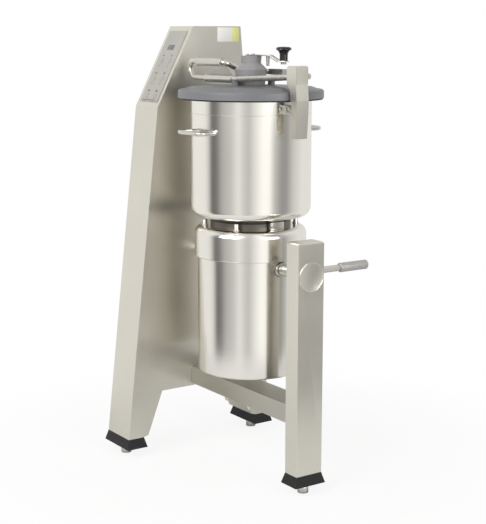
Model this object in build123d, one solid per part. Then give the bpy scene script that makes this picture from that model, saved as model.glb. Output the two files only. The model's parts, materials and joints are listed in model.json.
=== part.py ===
from build123d import *
import math
import os

# Cutter mixer with a tilting bowl, in millimetres.
# Origin: on the floor under the middle of the rubber feet. X runs from the
# control column to the bearing post, Y away from the operator, Z up.

# Clearances
running_gap = 0.05
moving_gap = 0.3
seat_gap = 0.1

# Across the machine, from the column to the post
column_width = 124.0
lid_side_gap = 48.0
lever_gap = 72.0
post_width = 52.0
post_depth = 84.0
post_rise = 92.0
drum_offset = 7.4

# Column of folded sheet
sheet = 2.0
column_depth = 504.0
column_height = 1250.0
column_top_depth = 165.6
panel_rise = 228.3
bend_setback = 109.2
panel_setback = 119.3
leg_foot = 51.0
leg_toe = 15.6
leg_toe_rise = 4.5
arch_inset = 115.5
arch_drop = 8.0
cover_margin = 16.0
cover_sheet = 1.5

# Feet
glide_height = 27.0
glide_radius = 15.0
glide_neck = 6.0
boot_height = 29.0
boot_flare = 8.0

# Beam and post
beam_bottom = 196.0
beam_height = 52.8
tube_wall = 3.0
post_bevel = 4.0

# Tilting axle and its bearings
axle_radius = 15.0
axle_boss_radius = 21.0
axle_boss_height = 10.0
axle_bore = 7.0
axle_hole_gap = 4.0
bush_wall = 6.0
housing_wall = 8.0
column_bearing_length = 60.0
flange_height = 8.0
flange_margin = 12.0
axle_cover_radius = 40.2
axle_cover_height = 2.5
axle_cover_ring = 3.0

# Tilt lever
lever_hub_radius = 23.0
lever_hub_width = 22.0
lever_rod_radius = 9.0
lever_grip_start = 147.0
lever_grip_length = 97.0
lever_grip_radius = 13.0
lever_grip_bevel = 3.0
lever_post_gap = 4.0

# Motor housing
tilt_clearance = 13.1
motor_radius = 147.0
motor_wall = 3.0
motor_drop = 304.5
motor_edge = 6.0
seam_rise = 23.0
cover_radius = 155.5
cover_height = 83.0
cover_edge = 22.0

# Motor inside
shield_height = 12.0
bearing_radius = 40.0
bearing_height = 22.0
hub_wall = 10.0
bore_gap = 2.0
shaft_radius = 20.0
rotor_radius = 80.0
air_gap = 0.6
stator_raise = 60.0
stator_height = 160.0
winding_height = 26.0
winding_wall = 45.0
fan_radius = 112.0
fan_height = 20.0
fan_sheet = 3.0
fan_blades = 9
fan_space = 8.0
base_slots = 12
base_slot_width = 8.0
base_slot_length = 40.0

# Seat between motor and bowl
seat_height = 26.5
seat_ring_height = 15.0
seat_ring_radius = 112.0
seat_ring_wall = 30.0
seat_pin_radius = 7.0
seat_pin_height = 8.0
seat_pins = 3
stop_block_depth = 12.0
stop_block_width = 44.0
stop_block_height = 22.0
stop_block_gap = 4.0
seal_radius = 34.0
seal_height = 9.0
stud_radius = 6.5
stud_height = 19.0
stud_circle = 129.5
stud_count = 5
stud_angle = 8.0

# Bowl
bowl_radius = 167.0
bowl_wall = 2.5
bowl_height = 321.0
bowl_corner = 28.0
bowl_tube_radius = 24.0
bowl_tube_wall = 3.0
bowl_tube_height = 96.0
handle_span = 108.0
handle_reach = 36.0
handle_rod = 6.0
handle_bend = 16.0
handle_drop = 85.0

# Blades
neck_radius = 16.0
drive_end_radius = 11.0
drive_end_height = 16.0
drive_flat = 8.5
hub_radius = 34.0
hub_cap_height = 12.0
hub_floor_gap = 4.0
blade_wall_gap = 2.5
blade_root = 30.0
blade_tip = 12.0
blade_sweep = 70.0
blade_thickness = 4.0
blade_levels = 2
blade_pitch = 34.0
blade_raise = 6.0
nut_radius = 20.0
nut_height = 22.0

# Lid
lid_rim_radius = 200.0
lid_rim_height = 23.0
lid_rim_edge = 7.0
lid_rim_width = 42.0
gasket_height = 3.7
gasket_width = 36.0
gasket_inset = 2.5
dome_rise = 11.0
dome_wall = 4.0
dome_step = 12.0
dome_crown = 170.0
dome_fall = 4.5
chimney_foot = 38.0
chimney_flare = 44.5
chimney_waist = 27.3
chimney_top = 29.3
chimney_flare_rise = 42.0
chimney_waist_rise = 58.7
chimney_height = 78.5

# Scraper
scraper_radius = 8.0
bush_radius = 13.0
crank_angle = 20.0
crank_reach = 107.0
crank_width = 22.0
crank_sheet = 3.0
crank_straight = 62.0
crank_fall = 16.0
crank_slope = 30.0
crank_pin_top = 6.0
crank_pin_tip = 4.0
crank_pin_length = 27.0
crank_nut = 6.0
knob_radius = 21.5
knob_height = 41.0
knob_crown = 8.0
knob_neck = 11.0
knob_stem = 5.0
scraper_depth = 20.0
scraper_bar = 8.0
scraper_side_gap = 8.0
wiper_depth = 40.0
wiper_width = 16.0
wiper_sheet = 5.0

# Hinge bracket and lid arm
hinge_reach = 211.0
hinge_rise = 66.5
hinge_eye = 19.5
bracket_width = 39.0
bracket_sheet = 3.0
bracket_drop = 161.0
bracket_foot = 16.0
bracket_belly = 24.0
bracket_rim_gap = 5.0
hinge_pin_radius = 6.0
hinge_pin_reach = 20.0
hinge_nut_radius = 8.0
knuckle_gap = 0.5
standoff_height = 24.0
standoff_width = 26.0
standoff_bolt_reach = 14.0
standoff_bolt_radius = 6.5
standoff_bolt_height = 4.0
standoff_rise = 6.0
arm_radius = 7.8
arm_half_gap = 60.0
arm_eye_half = 8.2
arm_lead = 14.0
arm_step = 3.0
arm_bend = 40.0
pad_place = 12.0
arm_sink = 12.0
sleeve_radius = 11.0
sleeve_length = 134.0
sleeve_end = 3.0
grip_radius = 11.0
grip_bell = 13.0
grip_length = 119.0
grip_rise = 44.0
grip_lead = 46.0
gusset_sheet = 3.0
handle_overhang = 18.0
handle_back_rise = 18.0
handle_chimney_gap = 8.0
back_end = 70.0
back_block = 60.0
back_cap = 4.0
handle_tube = 7.5

# Control panel on the leaning face
plate_side_margin = 15.0
plate_end_margin = 16.0
plate_sheet = 2.0
key_radius = 8.0
key_flange = 1.4
key_rise = 0.6
key_travel = 1.0
key_columns = 2
key_rows = 3
key_column_pitch = 44.0
key_row_pitch = 56.0
key_row_start = 34.0
board_depth = 8.0
board_sheet = 2.0
board_post = 3.0

# Electrics inside the column
inverter_size = (70.0, 130.0, 190.0)
inverter_clearance = 39.0
inverter_fins = 5
fin_depth = 10.0
fin_sheet = 4.0
gland_bore = 5.0
gland_radius = 11.0
gland_height = 22.0
gland_flange = 15.0
gland_offset = 60.0

# Worked-out places across the machine
machine_width = (column_width + lid_side_gap + lid_rim_radius
                 + cover_radius + lever_gap + post_width)
column_left = -machine_width / 2
column_right = column_left + column_width
column_middle = (column_left + column_right) / 2
drum_x = column_right + lid_side_gap + lid_rim_radius
drum_y = drum_offset
post_left = drum_x + cover_radius + lever_gap
post_right = post_left + post_width
post_middle = (post_left + post_right) / 2
front = -column_depth / 2
rear = column_depth / 2

# Worked-out heights
leg_bottom = glide_height + boot_height
beam_top = beam_bottom + beam_height
arch_top = beam_bottom - arch_drop
bend_height = column_height - panel_rise
axle_z = beam_top + tilt_clearance + math.hypot(motor_radius, motor_drop)
motor_bottom = axle_z - motor_drop
seam = axle_z + seam_rise
cover_top = seam + cover_height
post_top = axle_z + post_rise
bowl_bottom = cover_top + seat_height
bowl_floor = bowl_bottom + bowl_wall
bowl_top = bowl_bottom + bowl_height
tube_top = bowl_floor + bowl_tube_height
hub_seat = tube_top + hub_floor_gap
gasket_bottom = bowl_top + moving_gap
rim_bottom = gasket_bottom + gasket_height
rim_top = rim_bottom + lid_rim_height
dome_top = rim_top + dome_rise
chimney_end = dome_top + chimney_height
hinge_z = bowl_top + hinge_rise

# Worked-out radii
bush_bore = axle_radius + running_gap
bush_outer = axle_radius + bush_wall
housing_outer = bush_outer + housing_wall
bowl_inner = bowl_radius - bowl_wall
tube_inner = bowl_tube_radius - bowl_tube_wall
hub_inner = bowl_tube_radius + 5 * moving_gap
housing_half = housing_outer + flange_margin
scraper_reach = bowl_inner - scraper_side_gap
blade_low = hub_floor_gap + blade_raise
corner_inner = bowl_corner - bowl_wall
corner_width = math.sqrt(corner_inner ** 2 - (corner_inner - blade_low) ** 2)
blade_reach = bowl_radius - bowl_corner + corner_width - blade_wall_gap

nodes = {}


def disc(radius, bottom, top):
    # Upright cylinder on the Z axis.
    return Pos(0, 0, bottom) * Cylinder(radius, top - bottom, align=(Align.CENTER, Align.CENTER, Align.MIN))


def ring(outer, inner, bottom, top):
    # Upright tube on the Z axis.
    return disc(outer, bottom, top) - disc(inner, bottom, top)


def rod(start, end, radius):
    # Round bar from one point to another.
    way = Vector(*end) - Vector(*start)
    flat = Plane(origin=start, z_dir=way) * Circle(radius)
    return extrude(flat, way.length)


def block(low, high):
    # Box between two opposite corners.
    size = [b - a for a, b in zip(low, high)]
    return Pos(*low) * Box(*size, align=(Align.MIN, Align.MIN, Align.MIN))


def side_plate(points, left, right):
    # Outline of (Y, Z) points, as thick as from left to right along X.
    face = Plane.YZ * make_face(Polyline(*points, close=True))
    return Pos(left, 0, 0) * extrude(face, right - left)


def front_plate(points, near, far):
    # Outline of (X, Z) points, as thick as from near to far along Y.
    face = Plane.XZ * make_face(Polyline(*points, close=True))
    return Pos(0, far, 0) * extrude(face, far - near)


def spun(points):
    # Outline of (radius, Z) points turned once round the Z axis.
    return revolve(Plane.XZ * make_face(Polyline(*points, close=True)), Axis.Z)


def spun_face(lines):
    # Closed outline of lines and arcs in the XZ plane, turned round the Z axis.
    return revolve(Plane.XZ * make_face(lines), Axis.Z)


def pipe(points, bends, radius):
    # Round bar bent along the points, with one bend radius per corner.
    path = FilletPolyline(*points, radius=bends)
    way = Vector(*points[1]) - Vector(*points[0])
    section = Plane(origin=points[0], z_dir=way) * Circle(radius)
    return sweep(section, path=path)


def around(shape, count, start=0.0):
    # Equal copies of a shape round the Z axis.
    return [Rot(0, 0, start + 360.0 * i / count) * shape for i in range(count)]


def at_drum(shape):
    # From the drum's own axis to its place in the machine.
    return Pos(drum_x, drum_y, 0) * shape


def keep(name, *shapes):
    # Stores one named piece, which may be several like solids.
    solids = []
    for shape in shapes:
        solids.extend(shape.solids())
    nodes[name] = solids[0] if len(solids) == 1 else Compound(children=solids)


# Column

bend_y = front + bend_setback
top_front_y = bend_y + panel_setback
top_rear_y = top_front_y + column_top_depth


def column_outline():
    # Side view of the cabinet: two legs, an arch, a leaning front and back.
    return [
        (front, leg_bottom),
        (front + leg_foot, leg_bottom),
        (front + leg_foot + leg_toe, leg_bottom + leg_toe_rise),
        (front + arch_inset, arch_top),
        (rear - arch_inset, arch_top),
        (rear - leg_foot - leg_toe, leg_bottom + leg_toe_rise),
        (rear - leg_foot, leg_bottom),
        (rear, leg_bottom),
        (top_rear_y, column_height),
        (top_front_y, column_height),
        (bend_y, bend_height),
    ]


rear_way = Vector(0, top_rear_y - rear, column_height - leg_bottom)
rear_plane = Plane(origin=(column_middle, rear, leg_bottom), x_dir=(-1, 0, 0),
                   z_dir=Vector(-1, 0, 0).cross(rear_way))
panel_way = Vector(0, panel_setback, column_height - bend_height)
panel_plane = Plane(origin=(column_middle, bend_y, bend_height), x_dir=(1, 0, 0),
                    z_dir=Vector(1, 0, 0).cross(panel_way))
cover_low = arch_top - leg_bottom
cover_size = (column_width - 2 * sheet, rear_way.length - cover_low - 2 * sheet)
cover_middle = cover_low + sheet + cover_size[1] / 2
window_size = (cover_size[0] - 2 * cover_margin, cover_size[1] - 2 * cover_margin)
foot_places = [(column_middle, front + leg_foot / 2), (column_middle, rear - leg_foot / 2), (post_middle, drum_y)]


def key_places():
    # Middles of the round keys on the panel, across and up the slope.
    places = []
    for row in range(key_rows):
        for column in range(key_columns):
            across = (column - (key_columns - 1) / 2) * key_column_pitch
            places.append((across, key_row_start + row * key_row_pitch))
    return places


def column_parts():
    outline = make_face(Polyline(*column_outline(), close=True))
    shell = Pos(column_left, 0, 0) * extrude(Plane.YZ * outline, column_width)
    hollow = offset(outline, amount=-sheet, kind=Kind.INTERSECTION)
    shell -= Pos(column_left + sheet, 0, 0) * extrude(Plane.YZ * hollow, column_width - 2 * sheet)
    shell -= rear_plane * Pos(0, cover_middle, 0) * Box(*window_size, 6 * sheet)
    shell -= on_axle(axle_radius + axle_hole_gap, column_right - 2 * sheet, column_right + sheet)
    for across, up in key_places():
        shell -= panel_plane * Pos(across, up, 0) * Cylinder(key_radius + key_flange + moving_gap, 4 * sheet)
    for x, y in foot_places[:2]:
        shell -= Pos(x, y, 0) * disc(glide_neck + seat_gap, leg_bottom - sheet, leg_bottom + 2 * sheet)
    gland_place = Pos(column_middle, gland_offset, 0)
    shell -= gland_place * disc(gland_radius + seat_gap, arch_top - sheet, arch_top + 2 * sheet)
    keep("column_shell", shell)
    keep("column_rear_cover", rear_plane * Pos(0, cover_middle, cover_sheet / 2) * Box(*cover_size, cover_sheet))

    gland_low = arch_top - gland_height
    gland_high = arch_top + 3 * sheet
    gland = disc(gland_flange, arch_top - 5 * sheet, arch_top) + disc(gland_radius, gland_low, gland_high)
    gland -= disc(gland_bore, gland_low, gland_high)
    keep("cable_gland", gland_place * gland)


# Control panel

plate_size = (column_width - 2 * plate_side_margin, panel_way.length - 2 * plate_end_margin)


def panel_parts():
    plate = Pos(0, panel_way.length / 2, plate_sheet / 2) * Box(*plate_size, plate_sheet)
    for across, up in key_places():
        plate -= Pos(across, up, plate_sheet / 2) * Cylinder(key_radius + moving_gap, 2 * plate_sheet)
    keep("control_plate", panel_plane * plate)

    flange_top = -moving_gap
    flange_bottom = flange_top - sheet / 2
    key_bottom = -board_depth + 2 * key_travel
    for number, (across, up) in enumerate(key_places(), start=1):
        cap = disc(key_radius, key_bottom, plate_sheet + key_rise) + disc(key_radius + key_flange, flange_bottom, flange_top)
        keep(f"panel_key_{number}", panel_plane * Pos(across, up, 0) * cap)

    rows = [up for across, up in key_places()]
    middle = (min(rows) + max(rows)) / 2
    wide = plate_size[0] - sheet
    tall = max(rows) - min(rows) + 4 * key_radius
    board = Pos(0, middle, -board_depth - board_sheet / 2) * Box(wide, tall, board_sheet)
    for side in (-1, 1):
        for end in (-1, 1):
            corner = Pos(side * (wide / 2 - board_post), middle + end * (tall / 2 - board_post), 0)
            board += corner * disc(board_post, -board_depth, -sheet)
    keep("key_board", panel_plane * board)


def inverter_part():
    # Motor drive on the inner face of the column's outer wall, with cooling fins.
    wall = column_left + sheet
    width, depth, height = inverter_size
    near = drum_y - depth / 2
    top = axle_z - housing_half - inverter_clearance
    low = top - height
    body = block((wall, near, low), (wall + width, near + depth, top))
    for step in range(inverter_fins):
        y = near + depth * (step + 1) / (inverter_fins + 1)
        body += block((wall + width, y - fin_sheet / 2, low), (wall + width + fin_depth, y + fin_sheet / 2, top))
    keep("motor_inverter", body)


# Feet

def boot(across, along):
    # Flared rubber boot, open in the middle for the stud.
    top = Plane.XY.offset(leg_bottom) * Rectangle(across, along)
    low = Plane.XY.offset(glide_height) * Rectangle(across + 2 * boot_flare, along + 2 * boot_flare)
    return loft([low, top]) - disc(glide_neck + moving_gap, glide_height, leg_bottom)


def glide():
    # Domed foot on a threaded stud.
    shoulder = (glide_radius, glide_height / 3)
    neck = (glide_neck, glide_height - moving_gap)
    crown = (glide_neck + 0.7 * (glide_radius - glide_neck), glide_height * 0.75)
    stud_top = leg_bottom + 4 * sheet
    lines = Polyline((0, 0), (glide_radius, 0), shoulder) + ThreePointArc(shoulder, crown, neck)
    lines += Polyline(neck, (glide_neck, stud_top), (0, stud_top), (0, 0))
    return spun_face(lines)


def foot_parts():
    sizes = [(column_width, leg_foot), (column_width, leg_foot), (post_width, post_depth)]
    keep("rubber_boots", *[Pos(x, y, 0) * boot(*size) for (x, y), size in zip(foot_places, sizes)])
    keep("levelling_glides", *[Pos(x, y, 0) * glide() for x, y in foot_places])


# Beam, post and the axle's bearings

post_near = drum_y - post_depth / 2
post_far = drum_y + post_depth / 2


def on_axle(radius, start, end):
    # Round bar on the tilting axis, between two places across the machine.
    return rod((start, drum_y, axle_z), (end, drum_y, axle_z), radius)


def beam_part():
    wall = tube_wall
    beam = block((column_right, post_near, beam_bottom), (post_left, post_far, beam_top))
    beam -= block((column_right, post_near + wall, beam_bottom + wall), (post_left, post_far - wall, beam_top - wall))
    keep("cross_beam", beam)


def post_part():
    wall = tube_wall
    post = block((post_left, post_near, leg_bottom), (post_right, post_far, post_top))
    post = chamfer(post.edges().group_by(Axis.Z)[-1], post_bevel)
    post -= block((post_left + wall, post_near + wall, leg_bottom + wall),
                  (post_right - wall, post_far - wall, post_top - post_bevel - wall))
    post -= on_axle(housing_outer + seat_gap, post_left, post_right)
    x, y = foot_places[2]
    post -= Pos(x, y, 0) * disc(glide_neck + seat_gap, leg_bottom, leg_bottom + 2 * wall)
    keep("post_tube", post)


def bearing_parts():
    inside = column_right - sheet
    end = inside - column_bearing_length
    post_housing = on_axle(housing_outer, post_left, post_right) - on_axle(bush_outer + seat_gap, post_left, post_right)
    half = housing_half
    column_housing = block((inside - flange_height, drum_y - half, axle_z - half), (inside, drum_y + half, axle_z + half))
    column_housing += on_axle(housing_outer, end, inside)
    column_housing -= on_axle(bush_outer + seat_gap, end, inside)
    keep("bearing_housings", post_housing, column_housing)
    post_bush = on_axle(bush_outer, post_left, post_right) - on_axle(bush_bore, post_left, post_right)
    column_bush = on_axle(bush_outer, end, inside) - on_axle(bush_bore, end, inside)
    keep("axle_bushes", post_bush, column_bush)

    face = post_right + axle_cover_height
    cover = on_axle(axle_cover_radius, post_right, face)
    cover -= on_axle(axle_cover_radius - axle_cover_ring, post_right + axle_cover_height / 2, face)
    keep("axle_cover", cover)


# Tilting drive unit

motor_inner = motor_radius - motor_wall
boss_face = motor_radius + axle_boss_height


def on_tilt(radius, start, end):
    # Round bar on the tilting axis, measured from the drum's own axis.
    return rod((start, 0, axle_z), (end, 0, axle_z), radius)


def housing_parts():
    low = motor_bottom
    lip = motor_inner - motor_edge
    lines = Polyline((motor_inner, seam), (motor_radius, seam), (motor_radius, low + motor_edge))
    lines += RadiusArc((motor_radius, low + motor_edge), (motor_radius - motor_edge, low), motor_edge)
    lines += Polyline((motor_radius - motor_edge, low), (lip, low), (lip, low + motor_wall),
                      (motor_inner, low + motor_edge + motor_wall), (motor_inner, seam))
    shell = spun_face(lines)
    for side in (-1, 1):
        shell -= on_tilt(axle_boss_radius + seat_gap, 0, side * boss_face)
    keep("motor_shell", at_drum(shell))

    top = cover_top
    inner = cover_radius - motor_wall
    shoulder = cover_radius - cover_edge
    hub_hole = bearing_radius + hub_wall + seat_gap
    lines = Polyline((inner, seam), (cover_radius, seam), (cover_radius, top - cover_edge))
    lines += RadiusArc((cover_radius, top - cover_edge), (shoulder, top), -cover_edge)
    lines += Polyline((shoulder, top), (hub_hole, top), (hub_hole, top - motor_wall), (shoulder, top - motor_wall))
    lines += RadiusArc((shoulder, top - motor_wall), (inner, top - cover_edge), cover_edge - motor_wall)
    lines += Polyline((inner, top - cover_edge), (inner, seam))
    keep("motor_cover", at_drum(spun_face(lines)))

    base = disc(lip - seat_gap, low, low + motor_wall)
    slot = Pos(lip - base_slot_length, 0, low) * Box(base_slot_length, base_slot_width, 4 * motor_wall)
    for cut in around(slot, base_slots):
        base -= cut
    keep("motor_base", at_drum(base))


upper_bearing_top = cover_top - motor_wall
lower_shield = motor_bottom + 2 * fan_space + fan_height
lower_bearing = lower_shield + motor_wall
rotor_low = lower_shield + stator_raise
rotor_high = rotor_low + stator_height


def motor_inside_parts():
    hub = bearing_radius + hub_wall
    seat = bearing_radius + seat_gap
    bore = shaft_radius + bore_gap
    upper = disc(cover_radius - motor_wall - seat_gap, seam, seam + shield_height) + disc(hub, seam, cover_top)
    upper -= disc(seat, upper_bearing_top - bearing_height, cover_top) + disc(bore, seam, cover_top)
    lower_top = lower_bearing + bearing_height
    lower = disc(motor_inner - seat_gap, lower_shield, lower_shield + shield_height) + disc(hub, lower_shield, lower_top)
    lower -= disc(seat, lower_bearing, lower_top) + disc(bore, lower_shield, lower_top)
    keep("end_shields", at_drum(upper), at_drum(lower))

    fit = shaft_radius + running_gap
    bearings = [ring(bearing_radius, fit, low, low + bearing_height)
                for low in (upper_bearing_top - bearing_height, lower_bearing)]
    keep("shaft_bearings", *[at_drum(b) for b in bearings])

    core = ring(motor_inner - seat_gap, rotor_radius + air_gap, rotor_low, rotor_high)
    inner = rotor_radius + 2 * air_gap
    for low in (rotor_low - winding_height, rotor_high):
        core += ring(inner + winding_wall, inner, low, low + winding_height)
    keep("motor_stator", at_drum(core))


def rotor_parts():
    low = motor_bottom + fan_space
    keep("rotor_core", at_drum(ring(rotor_radius, shaft_radius + seat_gap, rotor_low, rotor_high)))
    end_top = hub_seat + drive_end_height
    shaft = disc(shaft_radius, low, upper_bearing_top) + disc(neck_radius, upper_bearing_top, hub_seat)
    end = disc(drive_end_radius, hub_seat, end_top)
    end &= block((-drive_end_radius, -drive_flat, hub_seat), (drive_end_radius, drive_flat, end_top))
    keep("motor_shaft", at_drum(shaft + end))

    hub = shaft_radius + hub_wall
    top = low + fan_height
    fan = disc(fan_radius, top - fan_sheet, top) + disc(hub, low, top)
    vane = block((hub - fan_sheet, -fan_sheet / 2, low), (fan_radius, fan_sheet / 2, top))
    for blade in around(vane, fan_blades):
        fan += blade
    fan -= disc(shaft_radius + seat_gap, low, top)
    keep("cooling_fan", at_drum(fan))


def tilt_parts():
    root = motor_inner - 2 * motor_wall
    right_end = post_right - drum_x - seat_gap
    left_end = column_right - sheet - column_bearing_length - drum_x
    right = on_tilt(axle_boss_radius, root, boss_face) + on_tilt(axle_radius, boss_face, right_end)
    left = on_tilt(axle_boss_radius, -root, -boss_face) + on_tilt(axle_radius, -boss_face, left_end)
    left -= on_tilt(axle_bore, left_end, -root)
    keep("tilt_axles", at_drum(right), at_drum(left))

    hub_right = post_left - drum_x - lever_post_gap
    hub_left = hub_right - lever_hub_width
    middle = (hub_left + hub_right) / 2
    lever = on_tilt(lever_hub_radius, hub_left, hub_right)
    lever += rod((middle, axle_radius, axle_z), (middle, lever_grip_start, axle_z), lever_rod_radius)
    lever -= on_tilt(axle_radius + seat_gap, hub_left, hub_right)
    keep("tilt_lever", at_drum(lever))
    grip = rod((middle, lever_grip_start, axle_z), (middle, lever_grip_start + lever_grip_length, axle_z), lever_grip_radius)
    keep("lever_grip", at_drum(chamfer(grip.edges().filter_by(GeomType.CIRCLE), lever_grip_bevel)))


# Seat between the motor and the bowl

def seat_parts():
    ring_top = cover_top + seat_ring_height
    inner = seat_ring_radius - seat_ring_wall
    pin_circle = seat_ring_radius - seat_ring_wall / 2
    seat = ring(seat_ring_radius, inner, cover_top, ring_top)
    pin = Pos(pin_circle, 0, 0) * disc(seat_pin_radius, ring_top, ring_top + seat_pin_height)
    for place in around(pin, seat_pins, 90):
        seat += place
    keep("seat_ring", at_drum(seat))

    base = ring(seat_ring_radius, inner, ring_top, bowl_bottom)
    hole = Pos(pin_circle, 0, 0) * disc(seat_pin_radius + moving_gap, ring_top, bowl_bottom)
    for cut in around(hole, seat_pins, 90):
        base -= cut
    keep("bowl_base_ring", at_drum(base))

    near = seat_ring_radius + stop_block_gap
    stop = block((near, -stop_block_width / 2, cover_top),
                 (near + stop_block_depth, stop_block_width / 2, cover_top + stop_block_height))
    keep("stop_block", at_drum(fillet(stop.edges().group_by(Axis.Z)[-1], 2)))
    keep("shaft_seal", at_drum(ring(seal_radius, neck_radius + moving_gap, upper_bearing_top, cover_top + seal_height)))

    stud = disc(stud_radius, cover_top, cover_top + stud_height) + disc(stud_radius + 2, cover_top, cover_top + 4)
    studs = around(Pos(stud_circle, 0, 0) * stud, stud_count + 1, stud_angle)[1:]
    keep("seat_studs", *[at_drum(s) for s in studs])


# Bowl

handle_z = bowl_top - handle_drop


def bowl_handle(side):
    # Bent wire handle with both ends on the bowl's wall.
    half = handle_span / 2
    far = side * (bowl_radius + handle_reach)
    near = side * (math.sqrt(bowl_radius ** 2 - half ** 2) - handle_rod)
    points = [(-half, near, handle_z), (-half, far, handle_z), (half, far, handle_z), (half, near, handle_z)]
    return pipe(points, handle_bend, handle_rod) - disc(bowl_radius, bowl_bottom, bowl_top)


def bowl_parts():
    flat = bowl_radius - bowl_corner
    low = bowl_bottom
    bend = low + bowl_corner
    lines = Polyline((tube_inner, low), (flat, low)) + RadiusArc((flat, low), (bowl_radius, bend), -bowl_corner)
    lines += Polyline((bowl_radius, bend), (bowl_radius, bowl_top), (bowl_inner, bowl_top), (bowl_inner, bend))
    lines += RadiusArc((bowl_inner, bend), (flat, bowl_floor), bowl_corner - bowl_wall)
    lines += Polyline((flat, bowl_floor), (bowl_tube_radius, bowl_floor), (bowl_tube_radius, tube_top),
                      (tube_inner, tube_top), (tube_inner, low))
    keep("bowl", at_drum(spun_face(lines)))
    keep("bowl_handles", *[at_drum(bowl_handle(side)) for side in (-1, 1)])


# Blades

def polar(radius, degrees):
    return (radius * math.cos(math.radians(degrees)), radius * math.sin(math.radians(degrees)))


def blade():
    # Curved knife in plan: a wide root at the hub, swept back to a narrow tip.
    middle = (hub_radius + blade_reach) / 2
    start = (hub_radius - 2, -blade_root / 2)
    end = (hub_radius - 8, blade_root / 2)
    tip = polar(blade_reach, blade_sweep)
    heel = polar(blade_reach - blade_tip, blade_sweep + 2)
    outer_middle = polar(middle + blade_root / 2, blade_sweep * 0.3)
    inner_middle = polar(middle - blade_root / 3, blade_sweep * 0.58)
    lines = ThreePointArc(start, outer_middle, tip) + Line(tip, heel)
    lines += ThreePointArc(heel, inner_middle, end) + Line(end, start)
    return extrude(make_face(lines), blade_thickness)


def blade_parts():
    low = bowl_floor + hub_floor_gap
    cap_low = hub_seat + hub_cap_height
    hub = disc(hub_radius, low, cap_low) - disc(hub_inner, low, hub_seat)
    flat = drive_flat + moving_gap
    hole = disc(drive_end_radius + moving_gap, hub_seat, cap_low)
    hole &= block((-hub_radius, -flat, hub_seat), (hub_radius, flat, cap_low))
    keep("blade_hub", at_drum(hub - hole))
    knives = []
    for level in range(blade_levels):
        height = low + blade_raise + level * blade_pitch
        for knife in around(blade(), 2, 90.0 * level):
            knives.append(Pos(0, 0, height) * knife - disc(hub_radius + seat_gap, low, cap_low))
    keep("blades", *[at_drum(k) for k in knives])
    nut = disc(nut_radius, cap_low, cap_low + nut_height)
    nut = chamfer(nut.edges().group_by(Axis.Z)[-1], nut_height / 4)
    keep("blade_nut", at_drum(nut - disc(drive_end_radius + moving_gap, cap_low, cap_low + nut_height / 2)))


# Lid

rim_inner = lid_rim_radius - lid_rim_width
arm_z = hinge_z - arm_sink
pad_radius = arm_radius + 2
arm_turn = chimney_foot / 2
eye_start = hinge_reach - hinge_eye - arm_lead


def arm_leg(side, start, radius=arm_radius):
    # One side of the fork: past the chimney, then in to the hinge eye.
    y = side * arm_half_gap
    eye = side * arm_eye_half
    points = [(start, y, arm_z), (arm_turn, y, arm_z), (eye_start, eye, hinge_z - arm_step), (hinge_reach, eye, hinge_z)]
    return pipe(points, arm_bend, radius)


def lid_parts():
    rim = ring(lid_rim_radius, rim_inner, rim_bottom, rim_top)
    rim = fillet(rim.edges().group_by(Axis.Z)[-1].sort_by(SortBy.RADIUS)[-1], lid_rim_edge)
    keep("lid_rim", at_drum(rim))
    outer = lid_rim_radius - gasket_inset
    keep("lid_gasket", at_drum(ring(outer, outer - gasket_width, gasket_bottom, rim_bottom)))

    edge = lid_rim_radius - dome_step
    crown = (dome_crown, dome_top - dome_fall)
    dome = spun([(chimney_foot, dome_top - dome_wall), (dome_crown, dome_top - dome_fall - dome_wall), (rim_inner, rim_top),
                 (edge, rim_top), crown, (chimney_foot, dome_top)])
    under = spun([(0, 0), (lid_rim_radius, 0), (edge, rim_top), (dome_crown, dome_top - dome_fall - 1), (0, dome_top - 1)])
    for side in (-1, 1):
        dome += Pos(pad_place, side * arm_half_gap, 0) * disc(pad_radius, rim_top, arm_z) - under
    dome -= rod((sleeve_end - sleeve_length, handle_y, arm_z), (sleeve_end, handle_y, arm_z), sleeve_radius + seat_gap)
    for side in (-1, 1):
        dome -= arm_leg(side, sleeve_end - sleeve_length, arm_radius + seat_gap)
    keep("lid_dome", at_drum(dome))

    low = dome_top - dome_wall
    flare = (chimney_flare, dome_top + chimney_flare_rise)
    waist = (chimney_waist, dome_top + chimney_waist_rise)
    lines = Polyline((bush_radius, low), (chimney_foot, low), (chimney_foot, dome_top), flare, waist)
    lines += Polyline(waist, (chimney_top, chimney_end), (bush_radius, chimney_end), (bush_radius, low))
    keep("lid_chimney", at_drum(spun_face(lines)))
    keep("scraper_bush", at_drum(ring(bush_radius, scraper_radius + running_gap, low, chimney_end)))


# Scraper turned by the crank

crank_low = chimney_end + moving_gap
crank_step = crank_low - crank_fall
crank_end = crank_reach + crank_width / 2
stem_top = crank_step + knob_height - knob_crown


def on_crank(shape):
    return at_drum(Rot(0, 0, crank_angle) * shape)


def crank_strip():
    # Bent flat strip, seen from its side along the crank.
    t = crank_sheet
    fall_end = crank_straight + crank_slope
    points = [(-crank_width / 2, crank_low), (crank_straight, crank_low), (fall_end, crank_step), (crank_end, crank_step),
              (crank_end, crank_step + t), (fall_end + t / 2, crank_step + t), (crank_straight + t / 2, crank_low + t),
              (-crank_width / 2, crank_low + t)]
    return front_plate(points, -crank_width / 2, crank_width / 2)


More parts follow.
